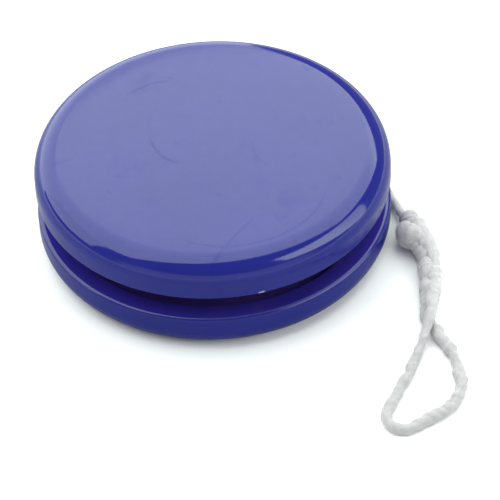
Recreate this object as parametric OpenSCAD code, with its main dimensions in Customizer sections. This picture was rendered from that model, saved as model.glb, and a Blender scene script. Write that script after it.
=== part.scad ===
// Slim toy yo-yo: two round halves pressed on a steel axle, with a cotton string.
// It lies flat on its lower face. +Z runs along the axle, and the origin is the middle of that face.
// Each half is a shell (face, rounded edge and rim), closed on the groove side by a disc.
// The string is wound on the axle, leaves the groove at the back, comes down to the surface,
// follows the foot of the lower half to the right and ends in a knotted finger loop.

/* [Halves] */
// Diameter of the yo-yo
yoyo_d = 57; // [55:0.5:57]
// Thickness of one half, from its face to its rim
half_h = 6.6; // [6.2:0.1:8]
// Groove between the two rims
rim_gap = 4.2; // [4.2:0.1:6]
// Radius of the rounded edge round the face
edge_r = 3.9; // [3.9:0.1:4.8]
// Radius of the rim's outer lip
lip_r = 0.6; // [0.3:0.1:0.9]
// Width of the flat ring on the rim
rim_w = 3.2; // [3:0.1:4]
// Thickness of the shell's face
face_t = 1.6; // [1.2:0.1:1.8]

/* [Groove discs] */
// Thickness of a groove disc
disc_t = 1.4; // [1:0.1:1.6]
// Depth of the disc's outer floor below the rim
recess = 1.6; // [1.2:0.1:1.8]
// Gap for the string between the raised middles of the discs
hub_gap = 3.8; // [3.4:0.1:4]
// Radius of the raised middle
plateau_r = 15.5; // [14.5:0.5:17]
// Width of the slope round the raised middle
slope_w = 5; // [4:0.5:6]
// Width of the ledge in the shell that the disc sits on
ledge_w = 1.3; // [1:0.1:1.6]

/* [Axle] */
// Diameter of the steel axle
axle_d = 4; // [3:0.5:5]
// Wall of the hub boss round the axle
boss_t = 3; // [2:0.5:4]
// Plastic left between the axle's end and the bottom of its bore
boss_floor = 0.8; // [0.6:0.1:1.2]
// Wall of the socket in the shell that takes the boss
socket_t = 1.2; // [0.8:0.1:1.5]
// Height of that socket above the inside of the face
socket_h = 1.4; // [1:0.1:1.8]

/* [String] */
// Thickness of the string
string_d = 1.5; // [1.2:0.1:1.5]
// Room between the slip loop and the axle, on the radius
loop_play = 0.05; // [0.02:0.01:0.1]
// Room between the winding and each groove disc
side_play = 0.3; // [0.2:0.05:0.4]
// Radius of the full winding
winding_r = 13.6; // [11:0.2:14]
// Width of the knot that closes the finger loop
knot_d = 4.8; // [4:0.2:4.8]
// Length of that knot
knot_l = 6.8; // [6:0.2:8]

/* [Hidden] */

$fn = 128;
blue = [0.17, 0.18, 0.58];
steel = [0.72, 0.73, 0.75];
cotton = [0.86, 0.86, 0.84];

yoyo_r = yoyo_d / 2;
yoyo_h = 2 * half_h + rim_gap;
mid_z = yoyo_h / 2;
ring_edge_r = 0.3;
disc_r = yoyo_r - rim_w;
floor_z = half_h - recess;
ledge_z = floor_z - disc_t;
cavity_r = disc_r - ledge_w;
plateau_z = mid_z - hub_gap / 2;
slope_r = plateau_r + slope_w;
axle_r = axle_d / 2;
boss_r = axle_r + boss_t;
bore_z = face_t + boss_floor;
axle_end = 0.3;
loop_in_r = axle_r + loop_play;
loop_out_r = loop_in_r + string_d;
winding_w = hub_gap - 2 * side_play;
knot_z = knot_d / 2 + 0.05;
knot_at = [31.9, -5.8];
knot_turn = -70;
cord_sides = 8;
cord_steps = 2;

// Route of the string from the winding, over the rim at the back, down to the surface and to the knot.
lead_route = [
    [-10.3, 7.7, 8.7],
    [-5.9, 13.6, 8.7],
    [-1.5, 19.4, 8.4],
    [2.6, 24.9, 7.9],
    [4.9, 27.9, 7.6],
    [7.3, 29.6, 6.6],
    [9.6, 29.2, 4.2],
    [12.6, 27.7, 2.1],
    [16.8, 24.6, 0.9],
    [21.0, 19.0, 0.8],
    [24.8, 13.6, 0.8],
    [27.3, 8.4, 0.8],
    [28.9, 3.8, 0.8],
    [30.2, -0.6, 1.4],
    [31.4, -4.4, 2.3]
];

// Route of the finger loop: out of the knot, over its own other leg, round, and back under it.
loop_route = [
    [32.9, -7.8, 2.3],
    [34.6, -11.6, 1.4],
    [34.8, -15.6, 1.2],
    [34.3, -19.6, 1.7],
    [33.7, -23.0, 2.4],
    [32.8, -26.2, 2.4],
    [31.4, -30.2, 1.3],
    [29.7, -34.2, 0.8],
    [27.8, -38.4, 0.8],
    [26.0, -41.8, 0.8],
    [25.0, -44.8, 0.8],
    [25.7, -47.0, 0.8],
    [28.0, -47.6, 0.8],
    [31.0, -46.0, 0.8],
    [34.4, -43.6, 0.8],
    [36.4, -40.4, 0.8],
    [36.8, -36.8, 0.8],
    [36.2, -33.0, 0.8],
    [34.9, -29.6, 0.8],
    [33.4, -26.2, 0.8],
    [32.3, -22.9, 0.8],
    [32.5, -19.4, 0.8],
    [32.9, -15.6, 0.8],
    [32.9, -11.6, 1.3],
    [32.2, -8.2, 2.2]
];

function unit(v) = v / norm(v);
function at(points, i) = points[min(max(i, 0), len(points) - 1)];
function along(points, i) = unit(at(points, i + 1) - at(points, i - 1));

// Point of the smooth curve through the route, at the share u of the way from point i to the next.
function curve(p, i, u) =
    0.5 * (2 * at(p, i)
        + u * (at(p, i + 1) - at(p, i - 1))
        + u * u * (2 * at(p, i - 1) - 5 * at(p, i) + 4 * at(p, i + 1) - at(p, i + 2))
        + u * u * u * (3 * at(p, i) - at(p, i - 1) - 3 * at(p, i + 1) + at(p, i + 2)));
function smooth(p) = concat(
    [for (i = [0 : len(p) - 2]) for (k = [0 : cord_steps - 1]) curve(p, i, k / cord_steps)],
    [p[len(p) - 1]]
);

// Side directions carried along the curve without twist, one for each of its points.
function sides_of(points, i, last) =
    i == len(points) ? [] :
    let (t = along(points, i), side = unit(last - (last * t) * t))
    concat([side], sides_of(points, i + 1, side));

// Round solid of radius r swept along a route, with flat ends.
module cord(route, r) {
    line = smooth(route);
    n = len(line);
    across = sides_of(line, 0, cross([0, 0, 1], along(line, 0)));
    rings = [
        for (i = [0 : n - 1])
            for (k = [0 : cord_sides - 1])
                let (turn = 360 * k / cord_sides)
                line[i] + r * (cos(turn) * across[i] + sin(turn) * cross(along(line, i), across[i]))
    ];
    skin = [
        for (i = [0 : n - 2])
            for (k = [0 : cord_sides - 1])
                let (a = i * cord_sides + k, b = i * cord_sides + (k + 1) % cord_sides)
                [a, a + cord_sides, b + cord_sides, b]
    ];
    near_end = [for (k = [0 : cord_sides - 1]) k];
    far_end = [for (k = [cord_sides - 1 : -1 : 0]) (n - 1) * cord_sides + k];
    polyhedron(points = rings, faces = concat([near_end], skin, [far_end]), convexity = 10);
}

// Outer outline of a half: face on the X axis, rounded edge, straight wall and rounded rim.
module half_outline() {
    square([yoyo_r - edge_r, half_h]);
    intersection() {
        translate([yoyo_r - edge_r, edge_r])
            circle(edge_r);
        square([yoyo_r, edge_r]);
    }
    translate([0, edge_r])
        square([yoyo_r, half_h - lip_r - edge_r]);
    translate([0, edge_r])
        square([yoyo_r - lip_r, half_h - edge_r]);
    translate([yoyo_r - lip_r, half_h - lip_r])
        circle(lip_r);
}

// What rounds off the inner edge of the rim's flat ring.
module ring_edge_cut() {
    difference() {
        translate([disc_r, half_h - ring_edge_r])
            square(2 * ring_edge_r);
        translate([disc_r + ring_edge_r, half_h - ring_edge_r])
            circle(ring_edge_r);
        translate([disc_r + ring_edge_r, half_h - ring_edge_r])
            square(2 * ring_edge_r);
    }
}

// One shell with its face down on z = 0. The ledge takes the disc, and the socket its boss.
module shell() {
    rotate_extrude() {
        difference() {
            half_outline();
            translate([0, ledge_z])
                square([disc_r, half_h]);
            translate([0, face_t])
                square([cavity_r, half_h]);
            ring_edge_cut();
        }
        translate([boss_r, face_t / 2])
            square([socket_t, socket_h + face_t / 2]);
    }
}

// One groove disc in the same place: raised middle, slope, outer floor, and a boss with a blind bore.
module disc() {
    rotate_extrude()
        difference() {
            polygon([
                [0, face_t],
                [boss_r, face_t],
                [boss_r, plateau_z - disc_t],
                [plateau_r, plateau_z - disc_t],
                [slope_r, ledge_z],
                [disc_r, ledge_z],
                [disc_r, floor_z],
                [slope_r, floor_z],
                [plateau_r, plateau_z],
                [0, plateau_z]
            ]);
            translate([0, bore_z])
                square([axle_r, yoyo_h]);
        }
}

// Turns a lower piece over into its place in the upper half.
module upper() {
    translate([0, 0, yoyo_h])
        mirror([0, 0, 1])
            children();
}

module lower_shell() {
    color(blue)
        shell();
}

module lower_disc() {
    color(blue)
        disc();
}

module upper_shell() {
    color(blue)
        upper()
            shell();
}

module upper_disc() {
    color(blue)
        upper()
            disc();
}

// Steel pin pressed into both bosses, with its ends bevelled.
module axle() {
    color(steel)
        rotate_extrude()
            polygon([
                [0, bore_z],
                [axle_r - axle_end, bore_z],
                [axle_r, bore_z + axle_end],
                [axle_r, yoyo_h - bore_z - axle_end],
                [axle_r - axle_end, yoyo_h - bore_z],
                [0, yoyo_h - bore_z]
            ]);
}

// Slip loop of the string, two strands wide, that runs loose on the axle.
module slip_loop() {
    color(cotton)
        rotate_extrude()
            translate([loop_in_r, mid_z - winding_w / 2])
                square([string_d, winding_w]);
}

// Outer shape of all the turns wound over the slip loop, two strands wide.
module string_winding() {
    color(cotton)
        rotate_extrude() {
            translate([loop_out_r, mid_z - winding_w / 2])
                square([winding_r - string_d / 2 - loop_out_r, winding_w]);
            for (side = [-1, 1])
                translate([winding_r - string_d / 2, mid_z + side * (winding_w - string_d) / 2])
                    circle(string_d / 2);
        }
}

module string_lead() {
    color(cotton)
        cord(lead_route, string_d / 2);
}

// Bulk of the overhand knot, lying in line with the string.
module string_knot() {
    color(cotton)
        translate([knot_at[0], knot_at[1], knot_z])
            rotate([0, 90, knot_turn])
                rotate_extrude()
                    intersection() {
                        union() {
                            for (end = [-1, 1])
                                translate([0, end * (knot_l - knot_d) / 2])
                                    circle(knot_d / 2);
                            square([knot_d, knot_l - knot_d], center = true);
                        }
                        translate([0, -knot_l / 2])
                            square([knot_d / 2, knot_l]);
                    }
}

module finger_loop() {
    color(cotton)
        cord(loop_route, string_d / 2);
}

lower_shell();
lower_disc();
upper_shell();
upper_disc();
axle();
slip_loop();
string_winding();
string_lead();
string_knot();
finger_loop();
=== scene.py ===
"""Slim blue toy yo-yo on a pale surface, its string led round the foot to a knotted finger loop."""

import math

import bmesh
import bpy
import numpy as np
from mathutils import Matrix, Vector


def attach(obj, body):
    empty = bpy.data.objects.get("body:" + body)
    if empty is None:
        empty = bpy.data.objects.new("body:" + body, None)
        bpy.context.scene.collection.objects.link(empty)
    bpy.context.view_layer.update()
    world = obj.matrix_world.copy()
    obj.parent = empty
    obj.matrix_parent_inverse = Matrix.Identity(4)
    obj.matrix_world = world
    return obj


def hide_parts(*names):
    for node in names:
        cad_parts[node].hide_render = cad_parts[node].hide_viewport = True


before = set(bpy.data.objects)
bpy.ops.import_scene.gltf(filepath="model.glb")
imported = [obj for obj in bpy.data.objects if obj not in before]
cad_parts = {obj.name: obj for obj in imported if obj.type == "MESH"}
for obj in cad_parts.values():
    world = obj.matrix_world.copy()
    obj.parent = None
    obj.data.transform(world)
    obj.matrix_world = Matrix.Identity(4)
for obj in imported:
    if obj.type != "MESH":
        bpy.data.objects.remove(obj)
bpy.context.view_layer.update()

MM = 0.001
scene = bpy.context.scene
scene.view_settings.view_transform = "Standard"


# ---------------------------------------------------------------- camera

VIEW_AIM = Vector((5.4, -15.4, 8.7)) * MM
VIEW_DISTANCE = 450 * MM
VIEW_ELEVATION = math.radians(43.5)
VIEW_ROLL = math.radians(-2.5)
VIEW_LENS = 206.4


def make_camera():
    """Camera in front of the yo-yo, looking down on it, turned a little about its own axis."""
    back = Vector((0, -math.cos(VIEW_ELEVATION), math.sin(VIEW_ELEVATION)))
    level = Vector((1, 0, 0))
    over = back.cross(level)
    right = math.cos(VIEW_ROLL) * level + math.sin(VIEW_ROLL) * over
    up = back.cross(right)
    data = bpy.data.cameras.new("camera")
    data.sensor_width = 36
    data.lens = VIEW_LENS
    data.clip_start = 0.01
    data.clip_end = 50
    camera = bpy.data.objects.new("camera", data)
    turn = Matrix((right, up, back)).transposed().to_4x4()
    camera.matrix_world = Matrix.Translation(VIEW_AIM + back * VIEW_DISTANCE) @ turn
    scene.collection.objects.link(camera)
    scene.camera = camera


make_camera()


# ---------------------------------------------------------------- string route

YOYO_H = 17.4
GROOVE_Z = YOYO_H / 2
STRAND_SIDE = 0.85
SLIP_LOOP_R = 2.8
FIRST_TURN_R = 4.3
LAST_TURN_R = 12.86
SLIP_TURNS = 2
WOUND_LAYERS = 7
TURN_POINTS = 160

# From the winding, over the rim at the back, down to the surface and along the foot to the knot.
LEAD_ROUTE = [
    (-10.3, 7.7, 8.7),
    (-5.9, 13.6, 8.7),
    (-1.5, 19.4, 8.4),
    (2.6, 24.9, 7.9),
    (4.9, 27.9, 7.6),
    (7.3, 29.6, 6.6),
    (9.6, 29.2, 4.2),
    (12.6, 27.7, 2.1),
    (16.8, 24.6, 0.9),
    (21.0, 19.0, 0.8),
    (24.8, 13.6, 0.8),
    (27.3, 8.4, 0.8),
    (28.9, 3.8, 0.8),
    (30.2, -0.6, 1.4),
    (31.4, -4.4, 2.3),
]

# Out of the knot, over its own other leg, round, and back under it to the knot.
LOOP_ROUTE = [
    (32.9, -7.8, 2.3),
    (34.6, -11.6, 1.4),
    (34.8, -15.6, 1.2),
    (34.3, -19.6, 1.7),
    (33.7, -23.0, 2.4),
    (32.8, -26.2, 2.4),
    (31.4, -30.2, 1.3),
    (29.7, -34.2, 0.8),
    (27.8, -38.4, 0.8),
    (26.0, -41.8, 0.8),
    (25.0, -44.8, 0.8),
    (25.7, -47.0, 0.8),
    (28.0, -47.6, 0.8),
    (31.0, -46.0, 0.8),
    (34.4, -43.6, 0.8),
    (36.4, -40.4, 0.8),
    (36.8, -36.8, 0.8),
    (36.2, -33.0, 0.8),
    (34.9, -29.6, 0.8),
    (33.4, -26.2, 0.8),
    (32.3, -22.9, 0.8),
    (32.5, -19.4, 0.8),
    (32.9, -15.6, 0.8),
    (32.9, -11.6, 1.3),
    (32.2, -8.2, 2.2),
]

# The middle line of the two legs between the knot and their crossing, and how closely they lie to it.
NECK_START = -8.5
NECK_END = -25.5
NECK_Y = (NECK_END, -17.0)
NECK_X = (32.9, 33.85)
NESTLE = 0.55

# The middle of the knot, the way the string runs through it, and the least radius of its turns.
KNOT_AT = np.array([31.9, -5.8, 2.45])
KNOT_TURN = math.radians(-70)
KNOT_CORE = 0.3


def smooth_curve(route, steps):
    """Points of the smooth curve through a route, with this many steps between its points."""
    p = np.array(route, float)
    ends = np.vstack([p[:1], p, p[-1:]])
    out = []
    for i in range(len(p) - 1):
        a, b, c, d = ends[i : i + 4]
        for u in np.arange(steps) / steps:
            linear = u * (c - a)
            square = u**2 * (2 * a - 5 * b + 4 * c - d)
            cube = u**3 * (3 * b - a - 3 * c + d)
            out.append(0.5 * (2 * b + linear + square + cube))
    out.append(p[-1])
    return np.array(out)


def ease(x):
    """0 to 1 with no kink at either end."""
    x = np.clip(x, 0.0, 1.0)
    return x * x * (3 - 2 * x)


def wound_route():
    """Slip loop and winding, from the axle outwards: two strands side by side in each layer."""
    radii = [SLIP_LOOP_R] * SLIP_TURNS
    radii += [r for r in np.linspace(FIRST_TURN_R, LAST_TURN_R, WOUND_LAYERS) for _ in range(2)]
    sides = [STRAND_SIDE * (-1 if k % 4 in (0, 3) else 1) for k in range(len(radii))]
    radii.append(LAST_TURN_R)
    sides.append(0.0)
    end_angle = math.atan2(LEAD_ROUTE[0][1], LEAD_ROUTE[0][0])
    out = []
    for k in range(len(radii) - 1):
        for u in np.arange(TURN_POINTS) / TURN_POINTS:
            move = ease((u - 0.8) / 0.2)
            r = radii[k] + move * (radii[k + 1] - radii[k])
            z = GROOVE_Z + sides[k] + move * (sides[k + 1] - sides[k])
            angle = end_angle - 2 * math.pi * u
            out.append((r * math.cos(angle), r * math.sin(angle), z))
    return np.array(out)


def from_knot(along, across, high):
    """A point given in the knot's own directions: along the string, across it and up."""
    c, s = math.cos(KNOT_TURN), math.sin(KNOT_TURN)
    return KNOT_AT + np.array([along * c - across * s, along * s + across * c, high])


def collar(first, last, beside, turns, start, reach):
    """Turns round the knot's own axis, which open out from its middle and close in on it again."""
    out = []
    for u in np.linspace(0, 1, int(14 * turns)):
        angle = math.radians(start + 360 * turns * u)
        opened = float(ease(min(u, 1 - u) * turns / 0.45))
        wide = KNOT_CORE + (reach - KNOT_CORE) * opened
        across = beside + wide * math.cos(angle)
        out.append(from_knot(first + (last - first) * u, across, wide * math.sin(angle)))
    return out


def knot_in():
    """From the lead into the knot, round it as a collar and down its swollen body to the first leg."""
    route = collar(-1.7, -3.3, 0.3, 2.2, -60, 0.85)
    route += [from_knot(-1.4, -0.6, 0.0), from_knot(0.2, -1.3, 0.0), from_knot(1.6, -0.7, 0.0)]
    return route


def knot_end():
    """From the second leg up through the other side of the knot, where the string's end is tucked in."""
    return [from_knot(1.3, 0.1, 0.0), from_knot(-0.4, 0.5, 0.0), from_knot(-2.2, 0.4, 0.1)]


def nestled(points):
    """The finger loop with its two legs pressed together between the knot and their crossing."""
    out = points.copy()
    beside = ease((out[:, 1] - NECK_END) / 4) * ease((NECK_START - out[:, 1]) / 3)
    out[:, 0] += NESTLE * beside * (np.interp(out[:, 1], NECK_Y, NECK_X) - out[:, 0])
    return out


def resampled(points, step):
    """Points along a line at even spacing, and the distance of each from its start."""
    gaps = np.linalg.norm(np.diff(points, axis=0), axis=1)
    keep = np.concatenate([[True], gaps > 1e-9])
    points = points[keep]
    far = np.concatenate([[0.0], np.cumsum(np.linalg.norm(np.diff(points, axis=0), axis=1))])
    count = int(round(far[-1] / step))
    at = np.linspace(0, far[-1], count + 1)
    line = np.column_stack([np.interp(at, far, points[:, i]) for i in range(3)])
    return line, at


RING_STEP = 0.2
ROUTE_STEPS = 12
KNOT_STEPS = 10
wound = wound_route()
lead = smooth_curve(LEAD_ROUTE, ROUTE_STEPS)
loop = nestled(smooth_curve(LOOP_ROUTE, ROUTE_STEPS))
knot_a = smooth_curve([lead[-1], *knot_in(), loop[0]], KNOT_STEPS)
knot_b = smooth_curve([loop[-1], *knot_end()], KNOT_STEPS)
stretches = [wound, lead[:-1], knot_a[:-1], loop[:-1], knot_b]
lengths = []
for i, part in enumerate(stretches):
    following = stretches[i + 1][:1] if i + 1 < len(stretches) else part[-1:]
    whole = np.vstack([part, following])
    lengths.append(float(np.linalg.norm(np.diff(whole, axis=0), axis=1).sum()))
string_line, string_at = resampled(np.vstack(stretches), RING_STEP)
starts = np.concatenate([[0.0], np.cumsum(lengths)])
LEAD_START, KNOT_START, LOOP_START, KNOT_AGAIN, STRING_END = starts[1:]


# ---------------------------------------------------------------- materials

def new_material(name):
    """A material with its Principled shader."""
    mat = bpy.data.materials.new(name)
    mat.use_nodes = True
    tree = mat.node_tree
    shader = tree.nodes["Principled BSDF"]
    return mat, tree, shader


def node(tree, kind, **settings):
    """A node with its settings, and the default values of its inputs by name."""
    made = tree.nodes.new(kind)
    inputs = settings.pop("inputs", {})
    for key, value in settings.items():
        setattr(made, key, value)
    for key, value in inputs.items():
        made.inputs[key].default_value = value
    return made


def maths(tree, operation, first, second=None):
    """A Math node on two values, each a socket or a number."""
    made = tree.nodes.new("ShaderNodeMath")
    made.operation = operation
    for socket, value in zip(made.inputs, (first, second)):
        if value is None:
            continue
        if isinstance(value, (int, float)):
            socket.default_value = value
        else:
            tree.links.new(value, socket)
    return made.outputs[0]


def ramp(tree, factor, low, high, at_low, at_high):
    """A value that goes from at_low to at_high while factor goes from low to high."""
    made = node(tree, "ShaderNodeMapRange", interpolation_type="SMOOTHSTEP")
    tree.links.new(factor, made.inputs["Value"])
    made.inputs["From Min"].default_value = low
    made.inputs["From Max"].default_value = high
    made.inputs["To Min"].default_value = at_low
    made.inputs["To Max"].default_value = at_high
    return made.outputs["Result"]


def noise(tree, vector, scale, detail=2.0, roughness=0.5):
    """Noise of that many bumps a metre."""
    made = node(tree, "ShaderNodeTexNoise")
    made.inputs["Scale"].default_value = scale
    made.inputs["Detail"].default_value = detail
    made.inputs["Roughness"].default_value = roughness
    tree.links.new(vector, made.inputs["Vector"])
    return made.outputs["Fac"]


def mixed(tree, factor, first, second):
    """A colour mix of two colours, each a socket or a colour."""
    made = node(tree, "ShaderNodeMix", data_type="RGBA")
    tree.links.new(factor, made.inputs["Factor"])
    for socket, value in zip((made.inputs[6], made.inputs[7]), (first, second)):
        if isinstance(value, tuple):
            socket.default_value = value
        else:
            tree.links.new(value, socket)
    return made.outputs[2]


def bump(tree, height, distance, strength=1.0, under=None):
    """A bump of that depth, over another one."""
    made = node(tree, "ShaderNodeBump")
    made.inputs["Distance"].default_value = distance
    made.inputs["Strength"].default_value = strength
    tree.links.new(height, made.inputs["Height"])
    if under is not None:
        tree.links.new(under, made.inputs["Normal"])
    return made.outputs["Normal"]


def hairlines(tree, place, scale, width, cover, cover_scale):
    """1 on thin curved lines, broken up into short stretches, and 0 elsewhere."""
    lines = maths(tree, "ABSOLUTE", maths(tree, "SUBTRACT", noise(tree, place, scale, 0.0), 0.5))
    thin = ramp(tree, lines, 0.0, width, 1.0, 0.0)
    where = ramp(tree, noise(tree, place, cover_scale, 1.0), cover, cover + 0.06, 0.0, 1.0)
    return maths(tree, "MULTIPLY", thin, where)


def spot(tree, place, centre, size):
    """1 inside a ragged spot round a point, in millimetres, and 0 outside it."""
    away = node(tree, "ShaderNodeVectorMath", operation="DISTANCE")
    tree.links.new(place, away.inputs[0])
    away.inputs[1].default_value = tuple(c * MM for c in centre)
    ragged = maths(tree, "MULTIPLY", noise(tree, place, 1800.0, 3.0), size * MM)
    reach = maths(tree, "ADD", away.outputs["Value"], ragged)
    return ramp(tree, reach, size * 1.1 * MM, size * 1.5 * MM, 1.0, 0.0)


def pits(tree, place, scale, size, share):
    """1 in small round pits scattered over a face, and 0 elsewhere."""
    cells = node(tree, "ShaderNodeTexVoronoi", voronoi_dimensions="2D")
    cells.inputs["Scale"].default_value = scale
    tree.links.new(place, cells.inputs["Vector"])
    inside = ramp(tree, cells.outputs["Distance"], 0.6 * size * scale, size * scale, 1.0, 0.0)
    pick = node(tree, "ShaderNodeSeparateXYZ")
    tree.links.new(cells.outputs["Color"], pick.inputs[0])
    return maths(tree, "MULTIPLY", inside, maths(tree, "LESS_THAN", pick.outputs[0], share))


def arc_mark(tree, place, centre, radius, width, facing, half_span):
    """1 on a thin wavering arc of a face, round a point in millimetres, that faces this way in degrees."""
    split = node(tree, "ShaderNodeSeparateXYZ")
    tree.links.new(place, split.inputs[0])
    x = maths(tree, "SUBTRACT", split.outputs["X"], centre[0] * MM)
    y = maths(tree, "SUBTRACT", split.outputs["Y"], centre[1] * MM)
    squared = maths(tree, "ADD", maths(tree, "MULTIPLY", x, x), maths(tree, "MULTIPLY", y, y))
    away = maths(tree, "SQRT", squared)
    waver = maths(tree, "MULTIPLY", maths(tree, "SUBTRACT", noise(tree, place, 60.0, 1.0), 0.5), 1.6 * MM)
    off = maths(tree, "ABSOLUTE", maths(tree, "SUBTRACT", maths(tree, "ADD", away, waver), radius * MM))
    line = ramp(tree, off, 0.0, width * MM, 1.0, 0.0)
    turn = math.radians(facing)
    ahead_x = maths(tree, "MULTIPLY", x, math.cos(turn))
    ahead_y = maths(tree, "MULTIPLY", y, math.sin(turn))
    limit = radius * math.cos(math.radians(half_span)) * MM
    ahead = ramp(tree, maths(tree, "ADD", ahead_x, ahead_y), limit - MM, limit + MM, 0.0, 1.0)
    return maths(tree, "MULTIPLY", line, ahead)


def in_groove(tree, place, reach):
    """1 on the faces up to this far from the middle of the string groove, in millimetres, and 0 beyond."""
    split = node(tree, "ShaderNodeSeparateXYZ")
    tree.links.new(place, split.inputs[0])
    off_middle = maths(tree, "ABSOLUTE", maths(tree, "SUBTRACT", split.outputs["Z"], GROOVE_Z * MM))
    return ramp(tree, off_middle, reach * MM, (reach + 0.2) * MM, 1.0, 0.0)


# Marks of use on the plastic: a long arc scratch on the face, and a nick in the front lip, with a painted
# reflection of the nick on the lower ring below it. Places and sizes are in millimetres.
ARC_CENTRE = (3.0, -8.9)
ARC_R = 14.8
ARC_WIDTH = 0.28
ARC_FACING = -68
ARC_HALF_SPAN = 52
NICK_AT = (6.9, -27.5, 11.0)
NICK_SIZE = 0.7
NICK_COLOUR = (0.30, 0.32, 0.46, 1)
NICK_REFLECTION_AT = (6.2, -26.4, 6.6)
NICK_REFLECTION_SIZE = 1.1
NICK_REFLECTION_COLOUR = (0.10, 0.11, 0.26, 1)
NICK_REFLECTION_SHARE = 0.06
PITS_PER_M = 110.0
PIT_R = 0.4 * MM
PIT_SHARE = 0.3
# How brightly the clean plastic mirrors, and how much less where it is dirty or marked.
CLEAN_SPECULAR = 0.52
DIRT_SPECULAR = -0.10


def moulded_plastic(name, deep, pale, lint_and_painted_light, reach, gloss, scratches):
    """Coloured moulded plastic: faint clouds, a hand-worn gloss, scratches, pits, a nick with a painted
    reflection below it, and painted light in the groove.
    """
    mat, tree, shader = new_material(name)
    place = node(tree, "ShaderNodeTexCoord").outputs["Object"]
    clouds = noise(tree, place, 60.0, 3.0)
    marks = maths(
        tree,
        "MAXIMUM",
        hairlines(tree, place, scale=38.0, width=0.0060, cover=0.50, cover_scale=90.0),
        hairlines(tree, place, scale=75.0, width=0.0090, cover=0.54, cover_scale=130.0),
    )
    long_scratch = arc_mark(tree, place, ARC_CENTRE, ARC_R, ARC_WIDTH, ARC_FACING, ARC_HALF_SPAN)
    marks = maths(tree, "MAXIMUM", marks, long_scratch)
    tint = mixed(tree, ramp(tree, clouds, 0.3, 0.7, 0.0, 1.0), deep, pale)
    # Painted light in the groove: faces near its middle are mixed towards the paler third blue.
    painted_groove_light = maths(tree, "MULTIPLY", in_groove(tree, place, reach), ramp(tree, clouds, 0.3, 0.7, 0.7, 1.0))
    with_painted_groove_light = mixed(tree, painted_groove_light, tint, lint_and_painted_light)
    nick = spot(tree, place, NICK_AT, NICK_SIZE)
    # Painted reflection of the nick: a paler patch on the lower ring below it.
    nick_reflection = maths(tree, "MULTIPLY", spot(tree, place, NICK_REFLECTION_AT, NICK_REFLECTION_SIZE), NICK_REFLECTION_SHARE)
    chipped = mixed(tree, nick, with_painted_groove_light, NICK_COLOUR)
    with_nick_reflection = mixed(tree, nick_reflection, chipped, NICK_REFLECTION_COLOUR)
    tree.links.new(with_nick_reflection, shader.inputs["Base Color"])
    rough = ramp(tree, noise(tree, place, 25.0, 4.0, 0.6), 0.3, 0.75, gloss, gloss + 0.05)
    scuffed = maths(tree, "MULTIPLY_ADD", marks, 0.05 * scratches)
    tree.links.new(rough, scuffed.node.inputs[2])
    tree.links.new(scuffed, shader.inputs["Roughness"])
    shader.inputs["IOR"].default_value = 1.5
    smears = ramp(tree, noise(tree, place, 130.0, 3.0, 0.6), 0.55, 0.72, 0.0, 0.6)
    specks = ramp(tree, noise(tree, place, 1300.0, 2.0), 0.3, 0.7, 0.0, 0.35)
    dirt = maths(tree, "MAXIMUM", marks, pits(tree, place, PITS_PER_M, PIT_R, PIT_SHARE))
    dirt = maths(tree, "ADD", dirt, maths(tree, "ADD", smears, specks))
    matt = maths(tree, "MULTIPLY_ADD", dirt, DIRT_SPECULAR * scratches)
    matt.node.inputs[2].default_value = CLEAN_SPECULAR
    tree.links.new(matt, shader.inputs["Specular IOR Level"])
    waves = bump(tree, noise(tree, place, 45.0, 1.0), 0.02 * MM, 0.5)
    cuts = bump(tree, marks, -0.002 * MM, 0.4 * scratches, waves)
    tree.links.new(cuts, shader.inputs["Normal"])
    return mat


# Deep and pale blue, a paler blue painted as light in the groove, and how far from the middle of the groove
# that painted light reaches.
SHELL_BLUES = (0.003, 0.006, 0.147, 1), (0.005, 0.008, 0.162, 1), (0.040, 0.027, 0.28, 1)
SHELL_REACH = 2.05
# The discs' deep and pale blues are the shell's blue darkened as painted shade, since the discs sit in the
# groove.
DISC_BLUES = (0.006, 0.007, 0.120, 1), (0.008, 0.009, 0.135, 1), (0.055, 0.030, 0.18, 1)
DISC_REACH = 4.0
shell_mat = moulded_plastic("blue_shell", *SHELL_BLUES, SHELL_REACH, gloss=0.07, scratches=1.0)
disc_mat = moulded_plastic("blue_disc", *DISC_BLUES, DISC_REACH, gloss=0.22, scratches=0.2)

STEEL_DARK = (0.50, 0.50, 0.51, 1)
STEEL_BRIGHT = (0.66, 0.66, 0.67, 1)


def steel_pin():
    """Drawn steel: fine lines round the pin and a brushed gloss."""
    mat, tree, shader = new_material("steel_pin")
    place = node(tree, "ShaderNodeTexCoord").outputs["Object"]
    squeeze = node(tree, "ShaderNodeMapping")
    squeeze.inputs["Scale"].default_value = (1, 1, 30)
    tree.links.new(place, squeeze.inputs["Vector"])
    lines = noise(tree, squeeze.outputs["Vector"], 400.0, 3.0)
    tone = mixed(tree, lines, STEEL_DARK, STEEL_BRIGHT)
    tree.links.new(tone, shader.inputs["Base Color"])
    shader.inputs["Metallic"].default_value = 1.0
    tree.links.new(ramp(tree, lines, 0.3, 0.7, 0.22, 0.36), shader.inputs["Roughness"])
    tree.links.new(bump(tree, lines, 0.01 * MM, 0.4), shader.inputs["Normal"])
    return mat


COTTON_DARK = (0.467, 0.454, 0.460, 1)
COTTON_PALE = (0.577, 0.563, 0.570, 1)
COTTON_DUSTY = (0.43, 0.425, 0.428, 1)
# Painted light and shade: the string is darker in the finger loop and lighter towards the knot, where the
# yo-yo shades it; these multiply the colour in front of and behind the two distances along Y.
LOOP_PAINTED_SHADE = (0.80, 0.79, 0.80, 1)
KNOT_PAINTED_LIGHT = (0.92, 0.91, 0.92, 1)
PAINTED_SHADE_Y = (-36 * MM, -12 * MM)
SCATTER = 0.6 * MM


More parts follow.
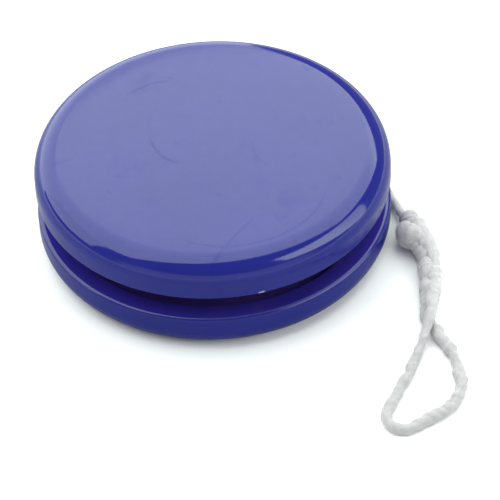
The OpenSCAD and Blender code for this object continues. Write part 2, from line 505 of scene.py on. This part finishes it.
def cotton(name):
    """Twisted cotton: off-white fibres that run round the plies, with a soft sheen."""
    mat, tree, shader = new_material(name)
    uv = node(tree, "ShaderNodeUVMap", uv_map="cord")
    place = node(tree, "ShaderNodeTexCoord").outputs["Object"]
    slant = node(tree, "ShaderNodeMapping")
    slant.inputs["Scale"].default_value = (14, 1.2, 1)
    slant.inputs["Rotation"].default_value = (0, 0, math.radians(18))
    tree.links.new(uv.outputs["UV"], slant.inputs["Vector"])
    fibres = noise(tree, slant.outputs["Vector"], 1.6, 4.0, 0.65)
    lint_and_painted_light = noise(tree, place, 2600.0, 3.0, 0.6)
    tufts = noise(tree, place, 900.0, 2.0)
    tone = mixed(tree, ramp(tree, fibres, 0.3, 0.7, 0.0, 1.0), COTTON_DARK, COTTON_PALE)
    dusty = mixed(tree, ramp(tree, tufts, 0.55, 0.8, 0.0, 0.35), tone, COTTON_DUSTY)
    along = node(tree, "ShaderNodeSeparateXYZ")
    tree.links.new(place, along.inputs[0])
    # Painted light and shade along Y: darker in the finger loop, lighter towards the knot.
    painted_light_along_y = mixed(tree, ramp(tree, along.outputs["Y"], *PAINTED_SHADE_Y, 0.0, 1.0), LOOP_PAINTED_SHADE, KNOT_PAINTED_LIGHT)
    shade = node(tree, "ShaderNodeMix", data_type="RGBA", blend_type="MULTIPLY")
    shade.inputs["Factor"].default_value = 1.0
    tree.links.new(dusty, shade.inputs[6])
    tree.links.new(painted_light_along_y, shade.inputs[7])
    tree.links.new(shade.outputs[2], shader.inputs["Base Color"])
    shader.inputs["Roughness"].default_value = 0.9
    shader.inputs["Specular IOR Level"].default_value = 0.15
    shader.inputs["Sheen Weight"].default_value = 0.3
    shader.inputs["Sheen Roughness"].default_value = 0.5
    shader.inputs["Subsurface Weight"].default_value = 0.25
    shader.inputs["Subsurface Radius"].default_value = (SCATTER, SCATTER, SCATTER)
    shader.inputs["Subsurface Scale"].default_value = 1.0
    strands = bump(tree, fibres, 0.12 * MM, 0.6)
    tree.links.new(bump(tree, lint_and_painted_light, 0.08 * MM, 0.5, strands), shader.inputs["Normal"])
    return mat


steel_mat = steel_pin()
cotton_mat = cotton("cotton_string")


# ---------------------------------------------------------------- string

def parallel_sides(line):
    """Tangents of a line and side directions carried along it without twist."""
    ahead = np.gradient(line, axis=0)
    ahead /= np.linalg.norm(ahead, axis=1)[:, None]
    side = np.cross([0, 0, 1], ahead[0])
    side /= np.linalg.norm(side)
    sides = [side]
    for t in ahead[1:]:
        side = side - side.dot(t) * t
        side = side / np.linalg.norm(side)
        sides.append(side)
    sides = np.array(sides)
    return ahead, sides, np.cross(ahead, sides)


def varied(at, stations):
    """A value that changes along the string, given at some distances from its start."""
    where, value = zip(*stations)
    return np.interp(at, where, value)


def half_width(at):
    """Half the string's width along its length: fluffier in the finger loop and swollen in the knot."""
    loop = KNOT_AGAIN - LOOP_START
    stations = [
        (0, 0.76),
        (KNOT_START, 0.76),
        (KNOT_START + 2.0, 0.86),
        (LOOP_START - 4.6, 0.95),
        (LOOP_START - 3.8, 1.8),
        (LOOP_START - 2.6, 2.25),
        (LOOP_START - 1.0, 2.15),
        (LOOP_START + 1.0, 1.95),
        (LOOP_START + 3.0, 1.62),
        (LOOP_START + 5.5, 1.36),
        (LOOP_START + 0.12 * loop, 1.25),
        (LOOP_START + 0.20 * loop, 0.76),
        (LOOP_START + 0.44 * loop, 0.76),
        (LOOP_START + 0.52 * loop, 0.93),
        (LOOP_START + 0.74 * loop, 0.95),
        (LOOP_START + 0.80 * loop, 0.88),
        (LOOP_START + 0.88 * loop, 1.25),
        (KNOT_AGAIN - 1.5, 1.45),
        (KNOT_AGAIN + 0.5, 1.75),
        (KNOT_AGAIN + 2.0, 2.0),
        (STRING_END - 1.5, 1.9),
        (STRING_END, 1.3),
    ]
    return varied(at, stations)


def ply_depth(at):
    """How deep the valley between the plies is: faint where the string is drawn tight, deeper in the loop."""
    loop = KNOT_AGAIN - LOOP_START
    stations = [
        (0, 0.14),
        (KNOT_START, 0.08),
        (LOOP_START, 0.08),
        (LOOP_START + 0.45 * loop, 0.10),
        (LOOP_START + 0.55 * loop, 0.15),
        (KNOT_AGAIN, 0.10),
    ]
    return varied(at, stations)


PLY_PITCH = 3.0
CORD_SIDES = 24
# Every DRIFT_STEP the radius changes by about this share and the twist by about this many radians.
DRIFT_STEP = 0.9
DRIFT = 0.05
WANDER = 0.55
VALLEY_POWER = 1.6
FIBRE_DEPTH = 0.018
FIBRES_ROUND = 9
FIBRE_LEAN = 0.6
# The string's middle lies this share of its half width above the surface, because it flattens a little.
FLOOR_LIFT = 0.85
UV_MM = 2.0
# The cotton's soft swellings: their spacing along the string, their size and their number round it.
LUMP_STEP = 1.4
LUMP_HEIGHT = 0.09
LUMP_SIDES = 5


def lumps(rng, at):
    """Soft uneven swellings of the cotton, round and along the string, as a share of its radius."""
    rows = int(at[-1] / LUMP_STEP) + 3
    grid = rng.normal(0, LUMP_HEIGHT, (rows, LUMP_SIDES))
    row = at / LUMP_STEP
    low = row.astype(int)
    part = ease(row - low)[:, None]
    around = np.arange(CORD_SIDES) / CORD_SIDES * LUMP_SIDES
    left = around.astype(int)
    share = ease(around - left)[None, :]
    right = (left + 1) % LUMP_SIDES
    near = grid[low][:, left] * (1 - share) + grid[low][:, right] * share
    far = grid[low + 1][:, left] * (1 - share) + grid[low + 1][:, right] * share
    loop = KNOT_AGAIN - LOOP_START
    stations = [
        (KNOT_START, 0.6),
        (KNOT_START + 2, 0.5),
        (LOOP_START, 0.4),
        (LOOP_START + 0.2 * loop, 1.6),
        (KNOT_AGAIN - 0.2 * loop, 1.6),
        (KNOT_AGAIN, 0.4),
    ]
    rough = varied(at, stations)[:, None]
    return rough * (near * (1 - part) + far * part)


def cord_mesh(name, line, at):
    """The string as one twisted tube of two plies, with its ends closed."""
    rng = np.random.default_rng(11)
    wide = half_width(at)
    line = line.copy()
    line[:, 2] = np.maximum(line[:, 2], wide * FLOOR_LIFT + 0.02)
    _, side, over = parallel_sides(line)
    stops = np.arange(0, at[-1] + 2, DRIFT_STEP)
    drift = np.interp(at, stops, rng.normal(0, DRIFT, len(stops)))
    wander = np.interp(at, stops, np.cumsum(rng.normal(0, WANDER, len(stops))))
    angle = 2 * math.pi * np.arange(CORD_SIDES) / CORD_SIDES
    twist = 2 * math.pi * at / PLY_PITCH + wander
    turned = angle[None, :] - twist[:, None]
    valley = 1 - np.abs(np.cos(turned))
    depth = ply_depth(at)[:, None]
    fine = FIBRE_DEPTH * np.cos(FIBRES_ROUND * (angle[None, :] + FIBRE_LEAN * twist[:, None]))
    relief = 1 - depth * valley**VALLEY_POWER + fine + lumps(rng, at)
    radius = wide[:, None] * (1 + drift[:, None]) * relief
    rings = (
        line[:, None, :]
        + radius[:, :, None] * np.cos(angle)[None, :, None] * side[:, None, :]
        + radius[:, :, None] * np.sin(angle)[None, :, None] * over[:, None, :]
    )
    rings[:, :, 2] = np.maximum(rings[:, :, 2], 0.01)
    count = len(line)
    verts = np.vstack([rings.reshape(-1, 3), line[:1], line[-1:]]) * MM
    grid = np.arange(count * CORD_SIDES).reshape(count, CORD_SIDES)
    nxt = np.roll(grid, -1, axis=1)
    quads = np.stack([grid[:-1], nxt[:-1], nxt[1:], grid[1:]], axis=-1).reshape(-1, 4)
    faces = [tuple(int(v) for v in q) for q in quads]
    first, last = count * CORD_SIDES, count * CORD_SIDES + 1
    for k in range(CORD_SIDES):
        nk = (k + 1) % CORD_SIDES
        faces.append((int(grid[0, nk]), int(grid[0, k]), first))
        faces.append((int(grid[-1, k]), int(grid[-1, nk]), last))
    mesh = bpy.data.meshes.new(name)
    mesh.from_pydata(verts.tolist(), [], faces)
    uv = mesh.uv_layers.new(name="cord")
    low = np.repeat(np.arange(count - 1), CORD_SIDES)
    col = np.tile(np.arange(CORD_SIDES), count - 1)
    u = np.stack([col, col + 1, col + 1, col], axis=1) / CORD_SIDES
    v = np.stack([at[low], at[low], at[low + 1], at[low + 1]], axis=1) / UV_MM
    flat = np.zeros((len(mesh.loops), 2), np.float32)
    flat[: u.size, 0] = u.ravel()
    flat[: v.size, 1] = v.ravel()
    uv.data.foreach_set("uv", flat.ravel())
    mesh.polygons.foreach_set("use_smooth", [True] * len(mesh.polygons))
    mesh.update()
    made = bpy.data.objects.new(name, mesh)
    scene.collection.objects.link(made)
    return made, line, rings


string, string_path, string_rings = cord_mesh("string", string_line, string_at)
string.data.materials.append(cotton_mat)
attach(string, "string")
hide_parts("slip_loop", "string_winding", "string_lead", "string_knot", "finger_loop")


FUZZ_FROM = LEAD_START + 40
FUZZ_PER_MM = 14
FUZZ_LONG = (0.25, 0.75)
FUZZ_THICK = (0.012, 0.022)
FUZZ_SIDES = 3
FUZZ_DARK = (0.44, 0.436, 0.437, 1)
FUZZ_PALE = (0.52, 0.515, 0.517, 1)


def fuzz_mesh(name):
    """Loose fibres that stand off the string where it is out in the open."""
    rng = np.random.default_rng(5)
    count = int((string_at[-1] - FUZZ_FROM) * FUZZ_PER_MM)
    first = int(FUZZ_FROM / RING_STEP)
    ring = rng.integers(first, len(string_at) - 4, count)
    col = rng.integers(0, CORD_SIDES, count)
    verts, faces = [], []
    for i, k in zip(ring, col):
        root = string_rings[i, k]
        out = root - string_path[i]
        out /= np.linalg.norm(out)
        ahead = string_path[i + 3] - string_path[i]
        ahead /= np.linalg.norm(ahead)
        lean = rng.normal(0, 1.0)
        drift = np.cross(ahead, out) * rng.normal(0, 0.7)
        long = rng.uniform(*FUZZ_LONG)
        thick = rng.uniform(*FUZZ_THICK)
        base = len(verts)
        for step, u in enumerate((0.0, 0.5, 1.0)):
            lifted = out * (long * 0.45 * math.sin(1.9 * u) - 0.03)
            centre = root + lifted + (ahead * lean + drift) * long * 0.8 * u
            centre[2] = max(centre[2], 0.03)
            size = thick * (1 - 0.7 * u)
            for turn in range(FUZZ_SIDES):
                a = 2 * math.pi * turn / FUZZ_SIDES
                across = math.cos(a) * out + math.sin(a) * np.cross(ahead, out)
                verts.append((centre + size * across) * MM)
            if step:
                low = base + FUZZ_SIDES * (step - 1)
                high = low + FUZZ_SIDES
                for turn in range(FUZZ_SIDES):
                    nt = (turn + 1) % FUZZ_SIDES
                    faces.append((low + turn, low + nt, high + nt, high + turn))
        tip = base + 2 * FUZZ_SIDES
        faces.append((tip, tip + 1, tip + 2))
    mesh = bpy.data.meshes.new(name)
    mesh.from_pydata([tuple(v) for v in verts], [], faces)
    mesh.update()
    made = bpy.data.objects.new(name, mesh)
    scene.collection.objects.link(made)
    return made


def loose_fibre():
    """Single cotton fibres: paler where they catch the light, duller in patches."""
    mat, tree, shader = new_material("cotton_fibre")
    place = node(tree, "ShaderNodeTexCoord").outputs["Object"]
    spots = noise(tree, place, 1500.0, 2.0)
    tone = mixed(tree, spots, FUZZ_DARK, FUZZ_PALE)
    tree.links.new(tone, shader.inputs["Base Color"])
    tree.links.new(ramp(tree, spots, 0.3, 0.7, 0.7, 0.9), shader.inputs["Roughness"])
    shader.inputs["Specular IOR Level"].default_value = 0.2
    return mat


fuzz = fuzz_mesh("string_fuzz")
fuzz.data.materials.append(loose_fibre())
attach(fuzz, "string")


# ---------------------------------------------------------------- halves

YOYO_R = 28.5
HALF_H = 6.6
EDGE_R = 3.9
LIP_R = 0.6
LIP_WIDE = 0.8
RING_EDGE_R = 0.3
DISC_R = 25.3
CAVITY_R = 24.0
LEDGE_Z = 3.6
FLOOR_Z = 5.0
FACE_T = 1.6
BOSS_R = 5.0
SOCKET_R = 6.2
SOCKET_Z = 3.0
PLATEAU_Z = 6.8
PLATEAU_R = 15.5
SLOPE_R = 20.5
DISC_T = 1.4
AXLE_R = 2.0
BORE_Z = 2.4
AXLE_END = 0.3
LATHE_STEPS = 240
SHARP = math.radians(25)


def arc(centre, radius, start, end, steps):
    """Points of an arc in a profile, angles in degrees from the outward direction."""
    out = []
    for i in range(steps + 1):
        a = math.radians(start + (end - start) * i / steps)
        out.append((centre[0] + radius * math.cos(a), centre[1] + radius * math.sin(a)))
    return out


def shell_profile():
    """Half section of a shell with its face down on z = 0, from the axis round to the axis again."""
    out = [(0, 0), (8, 0), (16, 0), (22, 0)]
    out += arc((YOYO_R - EDGE_R, EDGE_R), EDGE_R, -90, 0, 30)
    for x, z in arc((0, 0), 1, 0, 90, 14):
        out.append((YOYO_R - LIP_WIDE + LIP_WIDE * x, HALF_H - LIP_R + LIP_R * z))
    out += arc((DISC_R + RING_EDGE_R, HALF_H - RING_EDGE_R), RING_EDGE_R, 90, 180, 5)
    out += [(DISC_R, LEDGE_Z), (CAVITY_R, LEDGE_Z), (CAVITY_R, FACE_T), (SOCKET_R, FACE_T)]
    out += [(SOCKET_R, SOCKET_Z), (BOSS_R, SOCKET_Z), (BOSS_R, FACE_T), (0, FACE_T)]
    return out


def disc_profile():
    """Half section of a groove disc in the same place."""
    under = PLATEAU_Z - DISC_T
    out = [(0, FACE_T), (BOSS_R, FACE_T), (BOSS_R, under), (PLATEAU_R, under)]
    out += [(SLOPE_R, LEDGE_Z), (DISC_R, LEDGE_Z), (DISC_R, FLOOR_Z - 0.15), (DISC_R - 0.15, FLOOR_Z)]
    out += [(SLOPE_R + 0.3, FLOOR_Z), (SLOPE_R - 0.2, FLOOR_Z + 0.07)]
    out += [(PLATEAU_R + 0.4, PLATEAU_Z - 0.14), (PLATEAU_R - 0.2, PLATEAU_Z)]
    out += [(AXLE_R, PLATEAU_Z), (AXLE_R, BORE_Z), (0, BORE_Z)]
    return out


def axle_profile():
    """Half section of the pin, with bevelled ends."""
    low, high = BORE_Z, YOYO_H - BORE_Z
    out = [(0, low), (AXLE_R - AXLE_END, low), (AXLE_R, low + AXLE_END)]
    out += [(AXLE_R, GROOVE_Z), (AXLE_R, high - AXLE_END), (AXLE_R - AXLE_END, high), (0, high)]
    return out


def lathe(name, profile, upside_down=False):
    """A turned piece from its half section, smooth but for its real corners."""
    mesh = bpy.data.meshes.new(name)
    work = bmesh.new()
    rings = []
    for r, z in profile:
        height = (YOYO_H - z if upside_down else z) * MM
        if r < 1e-6:
            rings.append([work.verts.new((0, 0, height))])
            continue
        ring = []
        for k in range(LATHE_STEPS):
            a = 2 * math.pi * k / LATHE_STEPS
            ring.append(work.verts.new((r * math.cos(a) * MM, r * math.sin(a) * MM, height)))
        rings.append(ring)
    for low, high in zip(rings, rings[1:]):
        for k in range(LATHE_STEPS):
            nk = (k + 1) % LATHE_STEPS
            corners = [low[k % len(low)], low[nk % len(low)], high[nk % len(high)], high[k % len(high)]]
            corners = list(dict.fromkeys(corners))
            face = work.faces.new(corners)
            face.smooth = True
    bmesh.ops.recalc_face_normals(work, faces=work.faces)
    for edge in work.edges:
        edge.smooth = len(edge.link_faces) == 2 and edge.calc_face_angle(0.0) < SHARP
    work.to_mesh(mesh)
    work.free()
    made = bpy.data.objects.new(name, mesh)
    scene.collection.objects.link(made)
    return made


def turned_piece(name, profile, material, replaced, upside_down=False):
    """A turned piece of the halves, in place of its CAD node."""
    made = lathe(name, profile, upside_down)
    made.data.materials.append(material)
    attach(made, "halves")
    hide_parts(replaced)
    return made


turned_piece("shell_lower", shell_profile(), shell_mat, "lower_shell")
turned_piece("shell_upper", shell_profile(), shell_mat, "upper_shell", True)
turned_piece("disc_lower", disc_profile(), disc_mat, "lower_disc")
turned_piece("disc_upper", disc_profile(), disc_mat, "upper_disc", True)
turned_piece("axle_pin", axle_profile(), steel_mat, "axle")


# ---------------------------------------------------------------- floor and light

def stage_quad(name, corners, material):
    """A flat four-cornered piece of the stage."""
    mesh = bpy.data.meshes.new(name)
    mesh.from_pydata([tuple(c) for c in corners], [], [(0, 1, 2, 3)])
    mesh.update()
    made = bpy.data.objects.new(name, mesh)
    made.data.materials.append(material)
    scene.collection.objects.link(made)
    return made


def grey(level):
    """A grey of that brightness."""
    return (level, level, level, 1)


# How far from the yo-yo's axis the painted shade in the floor's mirror image begins and ends to fade.
DIM_FLOOR_M = (0.06, 0.30)


def floor_material():
    """Pale matt sheet with a hardly visible grain, and painted shade in what glossy faces mirror of it, most
    near the yo-yo.
    """
    mat, tree, shader = new_material("pale_floor")
    place = node(tree, "ShaderNodeTexCoord").outputs["Object"]
    grain = noise(tree, place, 300.0, 3.0)
    tone = mixed(tree, grain, grey(0.90), grey(0.93))
    away = node(tree, "ShaderNodeVectorMath", operation="LENGTH")
    tree.links.new(place, away.inputs[0])
    outer = ramp(tree, away.outputs["Value"], *DIM_FLOOR_M, 0.0, 1.0)
    # Painted shade: the floor is darker in glossy reflections, most of all near the yo-yo.
    mirrored_painted_shade = mixed(tree, outer, grey(0.33), grey(0.75))
    ray = node(tree, "ShaderNodeLightPath")
    seen = mixed(tree, ray.outputs["Is Glossy Ray"], tone, mirrored_painted_shade)
    tree.links.new(seen, shader.inputs["Base Color"])
    shader.inputs["Roughness"].default_value = 0.7
    shader.inputs["Specular IOR Level"].default_value = 0.1
    return mat


FLOOR_HALF = 1.0
floor_corners = [(-FLOOR_HALF, -FLOOR_HALF, 0), (FLOOR_HALF, -FLOOR_HALF, 0)]
floor_corners += [(FLOOR_HALF, FLOOR_HALF, 0), (-FLOOR_HALF, FLOOR_HALF, 0)]
stage_quad("floor", floor_corners, floor_material())


PANEL_LIGHT = (0.97, 1.03, 1.0, 1)


def panel_material(name, near, far, start, end):
    """A softbox's cloth, whose light goes from near to far between two places along Y, in metres."""
    mat = bpy.data.materials.new(name)
    mat.use_nodes = True
    tree = mat.node_tree
    tree.nodes.clear()
    place = node(tree, "ShaderNodeSeparateXYZ")
    tree.links.new(node(tree, "ShaderNodeTexCoord").outputs["Object"], place.inputs[0])
    glow = node(tree, "ShaderNodeEmission")
    glow.inputs["Color"].default_value = PANEL_LIGHT
    tree.links.new(ramp(tree, place.outputs["Y"], start, end, near, far), glow.inputs["Strength"])
    out = node(tree, "ShaderNodeOutputMaterial")
    tree.links.new(glow.outputs[0], out.inputs[0])
    return mat


def towards(azimuth, elevation, distance):
    """A point at that distance from the origin. Azimuth 0 is along +Y and 90 along +X."""
    a, e = math.radians(azimuth), math.radians(elevation)
    flat = math.cos(e) * distance
    return (flat * math.sin(a), flat * math.cos(a), math.sin(e) * distance)


def panel(distance, *directions):
    """Corners of a panel at that distance, each in its own direction."""
    return [towards(azimuth, elevation, distance) for azimuth, elevation in directions]


def softbox(name, corners, near, far, start=0.75, end=1.15):
    """A lit panel that the camera itself doesn't see."""
    made = stage_quad(name, corners, panel_material(name, near, far, start, end))
    made.visible_camera = False
    return made


WALL_AWAY = 1.4
STRIP_AWAY = 1.2
overhead = [(-0.96, -0.60, 1.0), (1.0, 0.10, 1.0), (1.2, 1.18, 0.83), (-2.2, 1.18, 0.83)]
softbox("softbox_overhead", overhead, near=3.0, far=4.2)
back_wall = panel(WALL_AWAY, (-60, 0.5), (4, 0.5), (4, 38), (-60, 38))
softbox("back_wall", back_wall, near=2.8, far=2.8)
left_wall = panel(WALL_AWAY, (-104, 12), (-58, 6), (-58, 36), (-106, 42))
softbox("left_wall", left_wall, near=2.6, far=2.6)
side_strip = panel(STRIP_AWAY, (138, 26), (142, 44), (76, 32), (84, -3))
softbox("side_strip", side_strip, near=4.2, far=3.0, start=-0.30, end=0.10)


def make_world():
    """A pale studio wall near the horizon, and darkness above it."""
    world = bpy.data.worlds.new("studio")
    scene.world = world
    world.use_nodes = True
    tree = world.node_tree
    place = node(tree, "ShaderNodeTexCoord").outputs["Generated"]
    split = node(tree, "ShaderNodeSeparateXYZ")
    tree.links.new(place, split.inputs[0])
    low = ramp(tree, split.outputs["Z"], 0.18, 0.42, 1.0, 0.0)
    front = ramp(tree, split.outputs["Y"], -0.75, -0.35, 1.0, 0.0)
    level = ramp(tree, maths(tree, "MULTIPLY", low, front), 0.0, 1.0, 0.36, 0.95)
    sky = tree.nodes["Background"]
    sky.inputs["Color"].default_value = (1, 1, 1, 1)
    tree.links.new(level, sky.inputs["Strength"])


make_world()
